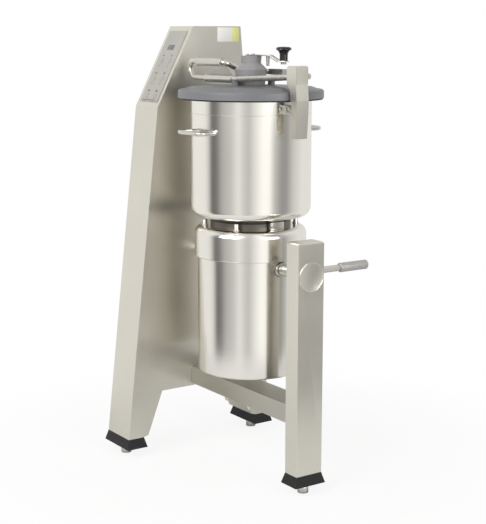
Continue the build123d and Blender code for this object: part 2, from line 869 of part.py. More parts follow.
def scraper_parts():
    crank = crank_strip()
    stem = disc(knob_stem, crank_step - crank_nut, stem_top) + disc(knob_stem + 3, crank_step - crank_nut, crank_step)
    crank += Pos(crank_reach, 0, 0) * stem
    pin = Cone(crank_pin_tip, crank_pin_top, crank_pin_length, align=(Align.CENTER, Align.CENTER, Align.MAX))
    crank += Pos(crank_straight - crank_pin_top, 0, crank_low) * pin
    crank -= disc(scraper_radius - 2 + seat_gap, crank_low, crank_low + crank_sheet)
    keep("scraper_crank", on_crank(crank))

    arm_top = rim_bottom - scraper_depth
    arm_low = arm_top - scraper_bar
    shaft = disc(scraper_radius, arm_low, crank_low) + disc(scraper_radius - 2, crank_low, crank_low + crank_sheet)
    shaft += disc(scraper_radius + 3, crank_low + crank_sheet, crank_low + 2 * crank_sheet)
    keep("scraper_shaft", at_drum(shaft))
    bar = block((-scraper_bar, -scraper_reach + wiper_width, arm_low), (scraper_bar, scraper_reach - wiper_width, arm_top))
    hub = disc(2 * scraper_radius, arm_low, arm_top)
    keep("scraper_arm", at_drum(bar + hub - disc(scraper_radius + seat_gap, arm_low, arm_top)))
    wiper = block((-wiper_sheet / 2, scraper_reach - wiper_width, arm_top - wiper_depth), (wiper_sheet / 2, scraper_reach, arm_top))
    keep("scraper_wipers", *[at_drum(w) for w in around(wiper, 2)])


def knob_part():
    low = crank_step + crank_sheet + moving_gap
    top = crank_step + knob_height
    waist = low + (top - low) * 0.4
    edge = top - knob_crown
    crown = 0.7 * knob_radius
    lines = Polyline((0, top), (0, low), (knob_neck, low), (knob_neck, waist))
    lines += ThreePointArc((knob_neck, waist), (knob_neck + 3, (waist + edge) / 2 + 2), (knob_radius, edge))
    lines += ThreePointArc((knob_radius, edge), (0.93 * knob_radius, top - knob_crown / 2), (crown, top - 1))
    lines += Line((crown, top - 1), (0, top))
    knob = spun_face(lines) - disc(knob_stem + moving_gap, low, stem_top + moving_gap)
    keep("crank_knob", on_crank(Pos(crank_reach, 0, 0) * knob))


# Hinge bracket on the bowl, and the lid's arm

bracket_rim = lid_rim_radius + bracket_rim_gap
bracket_low = hinge_z - bracket_drop
bracket_leg = bracket_rim + 8
eye_right = hinge_reach + hinge_eye
belly = hinge_reach + bracket_belly
shoulder_z = hinge_z - hinge_eye
waist_z = rim_bottom - hinge_eye


def bracket_outline():
    # Side view of the channel: a round eye on a leg that narrows downwards.
    return [
        (hinge_reach - hinge_eye, hinge_z), (hinge_reach - hinge_eye, shoulder_z), (bracket_rim, rim_top + bracket_rim_gap),
        (bracket_rim + 2, rim_bottom), (bracket_leg, waist_z), (bracket_leg, bracket_low),
        (bracket_leg + bracket_foot, bracket_low), (belly, waist_z), (belly, rim_bottom), (eye_right, shoulder_z),
        (eye_right, hinge_z),
    ]


def bracket_hollow():
    # Space inside the channel, open towards the bowl and over the hinge eye.
    web = bracket_sheet
    over = hinge_z + hinge_eye + 1
    return [
        (0, bracket_low - 1), (bracket_leg + bracket_foot - web, bracket_low - 1), (belly - web, waist_z),
        (belly - web, rim_bottom), (eye_right - web, shoulder_z), (eye_right - web, hinge_z), (eye_right + 1, hinge_z),
        (eye_right + 1, over), (0, over),
    ]


def on_hinge(radius, near, far):
    return rod((hinge_reach, near, hinge_z), (hinge_reach, far, hinge_z), radius)


def bracket_parts():
    half = bracket_width / 2
    inside = half - bracket_sheet
    body = front_plate(bracket_outline(), -half, half) + on_hinge(hinge_eye, -half, half)
    body -= front_plate(bracket_hollow(), -inside, inside)
    body -= on_hinge(hinge_pin_radius + seat_gap, -half, half)
    keep("hinge_bracket", at_drum(body))
    keep("hinge_pin", at_drum(on_hinge(hinge_pin_radius, -half, half) + on_hinge(hinge_nut_radius, half, half + hinge_pin_reach)))

    top = waist_z + standoff_rise
    bar = block((bowl_radius / 2, -standoff_width / 2, top - standoff_height), (belly, standoff_width / 2, top))
    bar &= front_plate(bracket_hollow(), -half, half)
    head = (bowl_radius + standoff_bolt_reach, -standoff_width / 2, top - standoff_height / 2)
    bar += rod(head, (head[0], head[1] - standoff_bolt_height, head[2]), standoff_bolt_radius)
    keep("bracket_standoff", at_drum(bar - disc(bowl_radius + seat_gap, bowl_bottom, bowl_top)))


def arm_parts():
    half = bracket_width / 2 - bracket_sheet - knuckle_gap
    knuckle = on_hinge(hinge_eye - bracket_sheet - knuckle_gap, -half, half)
    keep("arm_knuckle", at_drum(knuckle - on_hinge(hinge_pin_radius + running_gap, -half, half)))
    legs = [arm_leg(-1, sleeve_end) - knuckle, arm_leg(1, sleeve_end - sleeve_length) - knuckle]
    keep("arm_legs", *[at_drum(leg.solids().sort_by(Axis.X)[0]) for leg in legs])


handle_left = -(lid_rim_radius + handle_overhang)
handle_y = -arm_half_gap
grip_z = arm_z + grip_rise
grip_left = handle_left + grip_lead
grip_right = grip_left + grip_length
back_z = arm_z + handle_back_rise
back_x = -(chimney_flare + handle_tube + handle_chimney_gap)
back_y = -back_x


def sleeve_bar():
    return rod((sleeve_end - sleeve_length, handle_y, arm_z), (sleeve_end, handle_y, arm_z), sleeve_radius)


def handle_pipe():
    # Bent tube: out of the sleeve, up and back over as the grip, then down
    # behind the chimney to the block on the rear leg.
    points = [(sleeve_end - sleeve_length, handle_y, arm_z), (handle_left + grip_rise / 2, handle_y, arm_z),
              (handle_left, handle_y, arm_z + grip_rise / 2), (handle_left + 9, handle_y, grip_z),
              (grip_right + 17, handle_y, grip_z), (back_x, 0, back_z + 6), (back_x, back_y, back_z), (back_end, back_y, back_z)]
    return pipe(points, [14, 14, 14, 12, 30, 14], handle_tube)


def handle_parts():
    tube = handle_pipe()
    leg_rise = (arm_sink - arm_step) * (back_end + back_cap - arm_turn) / (eye_start - arm_turn)
    half = handle_tube + 1
    foot = block((back_end - back_block, back_y - half, arm_z + arm_radius + leg_rise),
                 (back_end + back_cap, back_y + half, back_z + half))
    keep("lid_handle", at_drum(tube + sleeve_bar() + foot))
    grip = rod((grip_left, handle_y, grip_z), (grip_right, handle_y, grip_z), grip_radius)
    bell = Plane(origin=(grip_left, handle_y, grip_z), z_dir=(1, 0, 0)) * Circle(grip_bell)
    neck = Plane(origin=(grip_left + 12, handle_y, grip_z), z_dir=(1, 0, 0)) * Circle(grip_radius)
    grip += loft([bell, neck])
    bore = rod((grip_left, handle_y, grip_z), (grip_right, handle_y, grip_z), handle_tube + seat_gap)
    keep("lid_handle_grip", at_drum(grip - bore))

    low = arm_z + arm_radius
    points = [(sleeve_end - sleeve_length + 4, low), (grip_right - 2, grip_z - grip_radius - 2), (grip_right + 3, grip_z - 2),
              (grip_right + 9, grip_z - 5), (sleeve_end - 2, low)]
    gusset = front_plate(points, handle_y - gusset_sheet / 2, handle_y + gusset_sheet / 2)
    keep("arm_gusset", at_drum(gusset - sleeve_bar() - tube - grip))


def build_all():
    column_parts()
    panel_parts()
    inverter_part()
    foot_parts()
    beam_part()
    post_part()
    bearing_parts()
    housing_parts()
    motor_inside_parts()
    rotor_parts()
    tilt_parts()
    seat_parts()
    bowl_parts()
    blade_parts()
    lid_parts()
    scraper_parts()
    knob_part()
    bracket_parts()
    arm_parts()
    handle_parts()


build_all()
os.makedirs("parts", exist_ok=True)
for name, shape in nodes.items():
    export_step(shape, f"parts/{name}.step")
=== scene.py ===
import json
import math

import bmesh
import bpy
from bpy.props import FloatProperty, FloatVectorProperty, IntProperty, PointerProperty
from mathutils import Matrix, Vector


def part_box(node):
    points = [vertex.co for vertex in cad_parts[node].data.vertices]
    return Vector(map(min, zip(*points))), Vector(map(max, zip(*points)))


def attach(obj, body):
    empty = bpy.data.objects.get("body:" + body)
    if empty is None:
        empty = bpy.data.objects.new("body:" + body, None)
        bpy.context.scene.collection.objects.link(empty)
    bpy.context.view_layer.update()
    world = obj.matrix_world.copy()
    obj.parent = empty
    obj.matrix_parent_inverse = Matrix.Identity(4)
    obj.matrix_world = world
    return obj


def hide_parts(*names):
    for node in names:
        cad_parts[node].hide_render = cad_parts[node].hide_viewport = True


bl_info = {
    "name": "Cutter Mixer Dressing",
    "version": (1, 0, 0),
    "blender": (4, 5, 0),
    "location": "View3D > Sidebar > Mixer",
    "description": "Finishes, trim and studio for a tilting cutter mixer",
    "category": "Add Mesh",
}

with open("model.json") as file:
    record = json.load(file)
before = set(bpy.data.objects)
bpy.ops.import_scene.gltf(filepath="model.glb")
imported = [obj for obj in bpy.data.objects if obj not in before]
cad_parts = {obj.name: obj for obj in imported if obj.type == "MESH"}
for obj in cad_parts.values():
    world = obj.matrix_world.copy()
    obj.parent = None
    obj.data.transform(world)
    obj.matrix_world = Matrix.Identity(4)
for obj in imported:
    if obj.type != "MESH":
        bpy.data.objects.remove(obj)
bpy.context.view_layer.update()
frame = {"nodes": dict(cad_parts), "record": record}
bowl_low, bowl_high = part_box("bowl")
shell_low, shell_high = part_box("motor_shell")
BODY_OF = {node: body for body, nodes in frame["record"]["behaviour"]["bodies"].items() for node in nodes}
drum = Vector(((shell_low[0] + shell_high[0]) / 2, (shell_low[1] + shell_high[1]) / 2, 0.0))

# Lengths are in metres, angles in radians.

# Mesh work
CAD_MERGE = 0.00001
SPIN_MERGE = 0.000005
FLAT_ANGLE = 0.01
FLAT_GAP = 1e-7
NUT_CORNER = 1.15

# Ranges of the textures round one
EVEN = (1.0, 1.0, 1.0)
BRUSHED_GLOSS = (0.95, 1.05)
BRUSHED_WEAR = (0.93, 1.07)
MOULDED_WEAR = (0.94, 1.06)
MOULDED_GLOSS = (0.88, 1.12)

# Blank label on the column's broad face: piece, finish, near and far end
LABELS = (("column_label", "label_white", 0.0615, 0.1105),
          ("column_label_end", "label_yellow", 0.1107, 0.1365))
LABEL_RISE = 1.2262
LABEL_LIFT = 0.0002
LABEL_SHEET = 0.0006
LABEL_TALL = 0.041

# Control panel, measured along its slope
FOIL_LIFT = 0.0012
WINDOW_SIDE = -0.002
WINDOW_DROP = 0.054
WINDOW_SIZE = (0.034, 0.016, 0.0012)
MARK_SHEET = 0.0004
MARK_ABOVE = 0.016
MARK_BELOW = 0.017
FOOT_LINE_RISE = 0.006
FOOT_LINE_SIZE = (0.078, 0.0012, MARK_SHEET)

# Beam's nuts and the line round the axle's cover
NUT_SHARES = (0.37, 0.61)
NUT_INSET = 0.012
NUT_DEPTH = 0.006
COVER_INSET = 0.0012
COVER_SINK = 0.0004
COVER_RAISE = 0.0012
COVER_WIDTH = 0.0009

# Outlines of small rings on motor, bowl and handle
MOTOR_SEAM = ((-0.0005, -0.0006), (0.0004, -0.0004), (0.0006, 0.0006), (0.0004, 0.0016), (-0.0005, 0.0018))
# Painted shade ring round the axle's boss, for the gap between boss and motor
SHADE_RING_SINK = 0.0009
SHADE_RING_RAISE = 0.0016
SHADE_RING_WIDTH = 0.0013
BOWL_LINE_DEPTH = 0.0005
# Painted shade ring over the grip's open end: radius and distance along
GRIP_MOUTH = ((0.0062, 0.0), (0.0118, 0.0), (0.0118, -0.001), (0.0062, -0.001))
GRIP_SINK = 0.0005

# Head of the hinge bracket
HOOD_LIP = 0.0004
HOOD_SHEET = 0.0028
HOOD_CLEAR = 0.0105
HOOD_FRONT = 1.4
HOOD_OVERLAP = 0.9

# Studio
AIM = (0.0, 0.0, 0.65)
KEY_PLACE, KEY_SIZE = (0.6, -3.2, 2.6), 2.4
FILL_PLACE, FILL_SIZE = (3.6, 0.6, 1.8), 1.6
FLOOR_RADIUS = 1.25
FLOOR_PAPER = (0.88, 0.88, 0.875)
FADE_START = 0.3
FADE_END = 0.97
FADE_LEVEL = 0.88
ROOM_PALE = (0.9, 0.89, 0.87, 1.0)
# Light of the room by direction: share of a turn and level. The levels come
# from brightness read off the photo's bowl, rounded, and they stand as an
# open fault.
WALL_BANDS = ((0.05, 0.95), (0.135, 0.95), (0.16, 0.75), (0.185, 0.15), (0.215, 0.2),
              (0.25, 0.5), (0.30, 0.65), (0.34, 0.95), (0.37, 0.7), (0.395, 0.6),
              (0.42, 0.85), (0.465, 1.2), (0.5, 1.2), (0.53, 0.6), (0.57, 0.35),
              (0.60, 0.35), (0.65, 0.7), (0.72, 0.9), (0.84, 0.85), (0.92, 0.7))
CAMERA_PLACE = (2.8734, -1.9623, 1.2309)
CAMERA_TURN = (math.radians(90.0 - 10.4), math.radians(-0.1), math.radians(55.5))


class MixerFinishes(bpy.types.PropertyGroup):
    """Colours and gloss of the machine's surfaces."""

    cabinet_colour: FloatVectorProperty(
        name="Cabinet steel", description="Colour of the satin sheet of column, post and beam",
        subtype="COLOR", size=3, min=0.0, max=1.0, default=(0.71, 0.69, 0.62))
    cabinet_roughness: FloatProperty(
        name="Cabinet roughness", description="Spread of the reflections in the satin sheet",
        subtype="FACTOR", min=0.0, max=1.0, default=0.31)
    bowl_colour: FloatVectorProperty(
        name="Bowl steel", description="Colour of the polished bowl",
        subtype="COLOR", size=3, min=0.0, max=1.0, default=(0.84, 0.82, 0.77))
    bowl_roughness: FloatProperty(
        name="Bowl roughness", description="Spread of the reflections in the bowl",
        subtype="FACTOR", min=0.0, max=1.0, default=0.15)
    motor_colour: FloatVectorProperty(
        name="Motor steel", description="Colour of the motor's cylinder",
        subtype="COLOR", size=3, min=0.0, max=1.0, default=(0.82, 0.80, 0.755))
    lid_colour: FloatVectorProperty(
        name="Lid grey", description="Colour of the moulded lid rim",
        subtype="COLOR", size=3, min=0.0, max=1.0, default=(0.185, 0.19, 0.202))
    chimney_colour: FloatVectorProperty(
        name="Chimney grey", description="Colour of the feed chimney",
        subtype="COLOR", size=3, min=0.0, max=1.0, default=(0.31, 0.30, 0.305))
    rubber_colour: FloatVectorProperty(
        name="Rubber", description="Colour of boots and seals",
        subtype="COLOR", size=3, min=0.0, max=1.0, default=(0.012, 0.0115, 0.0135))
    knob_colour: FloatVectorProperty(
        name="Knob", description="Colour of the crank's knob",
        subtype="COLOR", size=3, min=0.0, max=1.0, default=(0.012, 0.009, 0.010))
    panel_colour: FloatVectorProperty(
        name="Panel foil", description="Colour of the control panel's foil",
        subtype="COLOR", size=3, min=0.0, max=1.0, default=(0.44, 0.43, 0.39))


class MixerTrim(bpy.types.PropertyGroup):
    """Sizes of the small trim."""

    edge_round: FloatProperty(
        name="Sheet edge", description="Radius of the folded edges of column, post and beam",
        subtype="DISTANCE", unit="LENGTH", min=0.0, max=0.01, default=0.0022)
    line_height: FloatProperty(
        name="Bowl line", description="Height of the rolled line near the bowl's top",
        subtype="DISTANCE", unit="LENGTH", min=0.0002, max=0.01, default=0.0016)
    line_drop: FloatProperty(
        name="Bowl line drop", description="Distance of the rolled line under the bowl's rim",
        subtype="DISTANCE", unit="LENGTH", min=0.0, max=0.2, default=0.037)
    nut_radius: FloatProperty(
        name="Beam nut", description="Radius of the domed nuts under the beam",
        subtype="DISTANCE", unit="LENGTH", min=0.001, max=0.05, default=0.0075)
    hood_height: FloatProperty(
        name="Bracket head", description="Height of the hinge bracket's head over the pin",
        subtype="DISTANCE", unit="LENGTH", min=0.0195, max=0.05, default=0.0275)
    hood_corner: FloatProperty(
        name="Bracket corner", description="Radius of the head's bent corner",
        subtype="DISTANCE", unit="LENGTH", min=0.004, max=0.015, default=0.008)
    # Black ring round the axle's boss is painted shade of the gap between boss and motor.
    boss_radius: FloatProperty(
        name="Axle shade ring", description="Radius of the painted shade ring round the axle's boss",
        subtype="DISTANCE", unit="LENGTH", min=0.01, max=0.05, default=0.0205)
    mark_size: FloatProperty(
        name="Panel mark", description="Length of one stroke of the key symbols",
        subtype="DISTANCE", unit="LENGTH", min=0.001, max=0.05, default=0.006)
    spin_steps: IntProperty(
        name="Round steps", description="Steps of a full turn in round trim",
        min=16, max=256, default=128)


class MixerStudio(bpy.types.PropertyGroup):
    """Camera and light of the studio."""

    lens: FloatProperty(
        name="Lens", description="Focal length in millimetres",
        subtype="DISTANCE_CAMERA", min=10.0, default=85.74)
    key_power: FloatProperty(
        name="Key light", description="Power of the large front light",
        subtype="POWER", min=0.0, default=95.0)
    fill_power: FloatProperty(
        name="Fill light", description="Power of the side light",
        subtype="POWER", min=0.0, default=40.0)
    world_level: FloatProperty(
        name="Room level", description="Level of the light from the room's walls",
        min=0.0, max=4.0, default=0.62)


# Materials

def start_material(name):
    material = bpy.data.materials.new(name)
    material.use_nodes = True
    tree = material.node_tree
    return material, tree, tree.nodes["Principled BSDF"]


def object_noise(tree, scale, stretch, detail=5.0, roughness=0.55):
    # Noise on the piece's own coordinates, stretched by the three factors.
    place = tree.nodes.new("ShaderNodeTexCoord")
    turn = tree.nodes.new("ShaderNodeMapping")
    turn.inputs["Scale"].default_value = stretch
    noise = tree.nodes.new("ShaderNodeTexNoise")
    noise.inputs["Scale"].default_value = scale
    noise.inputs["Detail"].default_value = detail
    noise.inputs["Roughness"].default_value = roughness
    tree.links.new(place.outputs["Object"], turn.inputs["Vector"])
    tree.links.new(turn.outputs["Vector"], noise.inputs["Vector"])
    return noise.outputs["Fac"]


def spread(tree, value, low, high):
    # Maps the middle of a noise to the given range.
    node = tree.nodes.new("ShaderNodeMapRange")
    node.inputs["From Min"].default_value = 0.3
    node.inputs["From Max"].default_value = 0.7
    node.inputs["To Min"].default_value = low
    node.inputs["To Max"].default_value = high
    tree.links.new(value, node.inputs["Value"])
    return node.outputs["Result"]


def product(tree, first, second):
    node = tree.nodes.new("ShaderNodeMath")
    node.operation = "MULTIPLY"
    tree.links.new(first, node.inputs[0])
    tree.links.new(second, node.inputs[1])
    return node.outputs[0]


def tinted(tree, colour, value):
    # The colour, lightened and darkened by a value round one.
    node = tree.nodes.new("ShaderNodeMix")
    node.data_type = "RGBA"
    node.blend_type = "MULTIPLY"
    node.inputs["Factor"].default_value = 1.0
    node.inputs["A"].default_value = (*colour, 1.0)
    tree.links.new(value, node.inputs["B"])
    return node.outputs["Result"]


def bumped(tree, shader, value, distance, strength):
    node = tree.nodes.new("ShaderNodeBump")
    node.inputs["Strength"].default_value = strength
    node.inputs["Distance"].default_value = distance
    tree.links.new(value, node.inputs["Height"])
    tree.links.new(node.outputs["Normal"], shader.inputs["Normal"])


GRAINS = {"up": (60.0, 60.0, 0.6), "along": (0.6, 60.0, 60.0), "round": (1.0, 1.0, 90.0)}


def brushed(name, colour, roughness, grain, streak=0.018, cloud=0.03, stretch_gloss=0.0, relief=0.00003):
    # Brushed steel: fine streaks along the grain, faint clouds of wear.
    material, tree, shader = start_material(name)
    shader.inputs["Metallic"].default_value = 1.0
    fine = object_noise(tree, 9.0, GRAINS[grain], 6.0, 0.65)
    wide = object_noise(tree, 5.0, EVEN, 3.0)
    shade = product(tree, spread(tree, fine, 1.0 - streak, 1.0 + streak),
                    spread(tree, wide, 1.0 - cloud, 1.0 + cloud))
    tree.links.new(tinted(tree, colour, shade), shader.inputs["Base Color"])
    gloss = product(tree, spread(tree, fine, *(roughness * share for share in BRUSHED_GLOSS)),
                    spread(tree, wide, *BRUSHED_WEAR))
    tree.links.new(gloss, shader.inputs["Roughness"])
    if relief:
        bumped(tree, shader, fine, relief, 0.05)
    if stretch_gloss:
        shader.inputs["Anisotropic"].default_value = stretch_gloss
        tangent = tree.nodes.new("ShaderNodeTangent")
        tangent.direction_type = "RADIAL"
        tangent.axis = "Z"
        tree.links.new(tangent.outputs["Tangent"], shader.inputs["Tangent"])
    return material


def moulded(name, colour, roughness, speckle=0.06, grain_size=420.0, relief=0.0001, level=0.5):
    # Moulded plastic or rubber: fine leathery texture and slight rubbing.
    material, tree, shader = start_material(name)
    shader.inputs["Specular IOR Level"].default_value = level
    fine = object_noise(tree, grain_size, EVEN, 3.0)
    wide = object_noise(tree, 7.0, EVEN, 3.0)
    shade = product(tree, spread(tree, fine, 1.0 - speckle, 1.0 + speckle),
                    spread(tree, wide, *MOULDED_WEAR))
    tree.links.new(tinted(tree, colour, shade), shader.inputs["Base Color"])
    gloss = spread(tree, wide, *(roughness * share for share in MOULDED_GLOSS))
    tree.links.new(gloss, shader.inputs["Roughness"])
    bumped(tree, shader, fine, relief, 0.25)
    return material


def knurled(name, colour, roughness):
    # Ribbed metal of a grip: crossed fine waves on a grey ground.
    material, tree, shader = start_material(name)
    shader.inputs["Metallic"].default_value = 0.85
    place = tree.nodes.new("ShaderNodeTexCoord")
    waves = []
    for turn in (0.7, -0.7):
        spin = tree.nodes.new("ShaderNodeMapping")
        spin.inputs["Rotation"].default_value = (turn, 0.0, 0.0)
        wave = tree.nodes.new("ShaderNodeTexWave")
        wave.bands_direction = "Y"
        wave.inputs["Scale"].default_value = 120.0
        tree.links.new(place.outputs["Object"], spin.inputs["Vector"])
        tree.links.new(spin.outputs["Vector"], wave.inputs["Vector"])
        waves.append(wave.outputs["Fac"])
    both = product(tree, *waves)
    tree.links.new(tinted(tree, colour, spread(tree, both, 0.82, 1.08)), shader.inputs["Base Color"])
    tree.links.new(spread(tree, both, roughness * 1.1, roughness * 0.9), shader.inputs["Roughness"])
    bumped(tree, shader, both, 0.0006, 0.6)
    return material


def darker(colour, share):
    return tuple(value * share for value in colour)


def finish_for(name):
    # Makes each finish once and hands it out by its plain name.
    done = bpy.data.materials.get(name)
    if done:
        return done
    look = bpy.context.scene.mixer_finishes
    steel = tuple(look.cabinet_colour)
    bowl = tuple(look.bowl_colour)
    motor = tuple(look.motor_colour)
    grey = tuple(look.lid_colour)
    makers = {
        "satin_upright": lambda n: brushed(n, steel, look.cabinet_roughness, "up"),
        "satin_lengthwise": lambda n: brushed(n, darker(steel, 0.72), look.cabinet_roughness, "along"),
        "polished_bowl": lambda n: brushed(n, bowl, look.bowl_roughness, "round", 0.02, 0.02, 0.3),
        "satin_motor": lambda n: brushed(n, motor, look.bowl_roughness * 1.15, "round", 0.02, 0.02, 0.3),
        "bright_bar": lambda n: brushed(n, (0.64, 0.625, 0.58), 0.27, "along", 0.01, 0.03, 0.0, 0.0),
        "bright_plate": lambda n: brushed(n, (0.68, 0.66, 0.61), 0.3, "up", 0.04),
        "dull_steel": lambda n: brushed(n, (0.40, 0.385, 0.36), 0.42, "round", 0.08, 0.08),
        # Seat ring between bowl and motor: steel darkened to a grey brown.
        "dark_brown_steel": lambda n: brushed(n, (0.17, 0.155, 0.135), 0.45, "round", 0.1, 0.1),
        "dark_cast": lambda n: moulded(n, (0.055, 0.053, 0.05), 0.6, 0.12, 260.0, 0.0003),
        "machined_bronze": lambda n: brushed(n, (0.52, 0.36, 0.16), 0.32, "along"),
        "lid_moulding": lambda n: moulded(n, grey, 0.42),
        "dome_moulding": lambda n: moulded(n, darker(grey, 0.88), 0.34),
        "chimney_moulding": lambda n: moulded(n, tuple(look.chimney_colour), 0.4),
        "rubber_compound": lambda n: moulded(n, tuple(look.rubber_colour), 0.55, 0.2, 300.0, 0.0002, 0.35),
        "black_knob": lambda n: moulded(n, tuple(look.knob_colour), 0.2, 0.1, 200.0, 0.00004),
        "black_moulding": lambda n: moulded(n, (0.02, 0.02, 0.021), 0.45, 0.15),
        "white_moulding": lambda n: moulded(n, (0.72, 0.71, 0.67), 0.4),
        "panel_foil": lambda n: moulded(n, tuple(look.panel_colour), 0.42, 0.03, 500.0, 0.00003),
        "key_foil": lambda n: moulded(n, darker(look.panel_colour, 0.93), 0.38, 0.03, 500.0, 0.00003),
        "mark_ink": lambda n: moulded(n, (0.05, 0.05, 0.055), 0.5, 0.1),
        "window_glass": lambda n: moulded(n, (0.17, 0.17, 0.20), 0.2, 0.05, 100.0, 0.00001),
        "label_white": lambda n: moulded(n, (0.97, 0.97, 0.95), 0.5, 0.02),
        "label_yellow": lambda n: moulded(n, (0.80, 0.82, 0.34), 0.5, 0.02),
        "board_green": lambda n: moulded(n, (0.03, 0.13, 0.06), 0.4, 0.15),
        "ribbed_grip": lambda n: knurled(n, (0.56, 0.55, 0.53), 0.42),
        # Painted shade for the hollow end of the handle's grip.
        "painted_hollow_shade": lambda n: moulded(n, (0.03, 0.028, 0.025), 0.7, 0.1),
    }
    return makers[name](name)


# Mesh helpers

def dress(finish, *names):
    # Gives CAD nodes a finish.
    material = finish_for(finish)
    for name in names:
        mesh = frame["nodes"][name].data
        mesh.materials.clear()
        mesh.materials.append(material)


def smooth_by_angle(bm, angle):
    # Smooth faces with creases where two faces meet more sharply.
    for face in bm.faces:
        face.smooth = True
    for edge in bm.edges:
        if len(edge.link_faces) == 2 and edge.calc_face_angle(0.0) > angle:
            edge.smooth = False


def place_piece(bm, name, finish, body, replaced=(), angle=0.6):
    # Turns a bmesh into a finished piece that rides on a body.
    smooth_by_angle(bm, angle)
    mesh = bpy.data.meshes.new(name)
    bm.to_mesh(mesh)
    bm.free()
    piece = bpy.data.objects.new(name, mesh)
    bpy.context.scene.collection.objects.link(piece)
    mesh.materials.append(finish_for(finish))
    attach(piece, body)
    if replaced:
        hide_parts(*replaced)
    return piece


def rounded(bm, geom, radius, steps, affect="EDGES"):
    # Rounds edges, or corners with VERTICES, by a radius.
    bmesh.ops.bevel(bm, geom=geom, offset=radius, offset_type="OFFSET", segments=steps, profile=0.5,
                    affect=affect, clamp_overlap=True, material=-1)


def dressed_copy(node, finish, edge=0.0, angle=0.6, steps=2):
    # A smooth copy of a CAD node with softly rounded edges.
    source = frame["nodes"][node]
    bm = bmesh.new()
    bm.from_mesh(source.data)
    bmesh.ops.remove_doubles(bm, verts=bm.verts, dist=CAD_MERGE)
    bmesh.ops.dissolve_limit(bm, angle_limit=FLAT_ANGLE, verts=bm.verts, edges=bm.edges)
    if edge:
        sharp = [e for e in bm.edges if len(e.link_faces) == 2 and e.calc_face_angle(0.0) > angle]
        rounded(bm, sharp, edge, steps)
    return place_piece(bm, node + "_skin", finish, BODY_OF[node], (node,), angle)


def closed_up(bm):
    # Merges what a spin leaves double, then turns all faces outwards.
    bmesh.ops.remove_doubles(bm, verts=bm.verts, dist=SPIN_MERGE)
    bmesh.ops.recalc_face_normals(bm, faces=bm.faces)
    return bm


def spun(profile, steps, centre=drum):
    # Turns an outline of (radius, height) points once round an upright axis.
    bm = bmesh.new()
    verts = [bm.verts.new((centre.x + r, centre.y, z)) for r, z in profile]
    edges = [bm.edges.new(pair) for pair in zip(verts, verts[1:])]
    bmesh.ops.spin(bm, geom=verts + edges, cent=(centre.x, centre.y, 0.0), axis=(0.0, 0.0, 1.0),
                   angle=math.tau, steps=steps, use_merge=True)
    return closed_up(bm)


def spun_level(points, centre, steps):
    # Turns a closed outline of points once round a level axis.
    bm = bmesh.new()
    verts = [bm.verts.new(point) for point in points]
    edges = [bm.edges.new(pair) for pair in zip(verts, verts[1:] + verts[:1])]
    bmesh.ops.spin(bm, geom=verts + edges, cent=centre, axis=(1.0, 0.0, 0.0),
                   angle=math.tau, steps=steps, use_merge=True)
    return closed_up(bm)


def ball_nut(bm, place, radius, height):
    # Domed nut hanging down from a place: hexagon with a ball at its end.
    corner = radius * NUT_CORNER
    bmesh.ops.create_cone(bm, cap_ends=True, segments=6, radius1=corner, radius2=corner, depth=height,
                          matrix=Matrix.Translation(place + Vector((0, 0, -height / 2))))
    bmesh.ops.create_uvsphere(bm, u_segments=20, v_segments=12, radius=radius,
                              matrix=Matrix.Translation(place + Vector((0, 0, -height))))


def small_box(bm, matrix, size):
    # Thin plate with softened edges, placed by a matrix.
    made = bmesh.ops.create_cube(bm, size=1.0, matrix=matrix @ Matrix.Diagonal((*size, 1.0)))
    edges = list({edge for vert in made["verts"] for edge in vert.link_edges})
    rounded(bm, edges, min(size) * 0.3, 2)


def upright_plate(bm, corners, rounds, near, far):
    # Flat plate in the machine's side view, with some of its corners rounded.
    verts = [bm.verts.new((x, near, z)) for x, z in corners]
    bm.faces.new(verts)
    for number, radius in rounds.items():
        rounded(bm, [verts[number]], radius, 8, "VERTICES")
    flat = [face for face in bm.faces if all(abs(vert.co.y - near) < FLAT_GAP for vert in face.verts)]
    raised = bmesh.ops.extrude_face_region(bm, geom=flat)
    moved = [item for item in raised["geom"] if isinstance(item, bmesh.types.BMVert)]
    bmesh.ops.translate(bm, verts=moved, vec=(0.0, far - near, 0.0))


# Operators

class MIXER_OT_column(bpy.types.Operator):
    """Dresses the folded column and its rear cover"""

    bl_idname = "mixer.column"
    bl_label = "Column"

    def execute(self, context):
        edge = context.scene.mixer_trim.edge_round
        dressed_copy("column_shell", "satin_upright", edge, 0.1)
        dress("satin_upright", "column_rear_cover")
        dress("black_moulding", "cable_gland")
        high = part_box("column_shell")[1]
        for name, finish, near, far in LABELS:
            bm = bmesh.new()
            middle = Vector((high[0] + LABEL_LIFT, (near + far) / 2, LABEL_RISE))
            small_box(bm, Matrix.Translation(middle), (LABEL_SHEET, far - near, LABEL_TALL))
            place_piece(bm, name, finish, "frame")
        return {"FINISHED"}


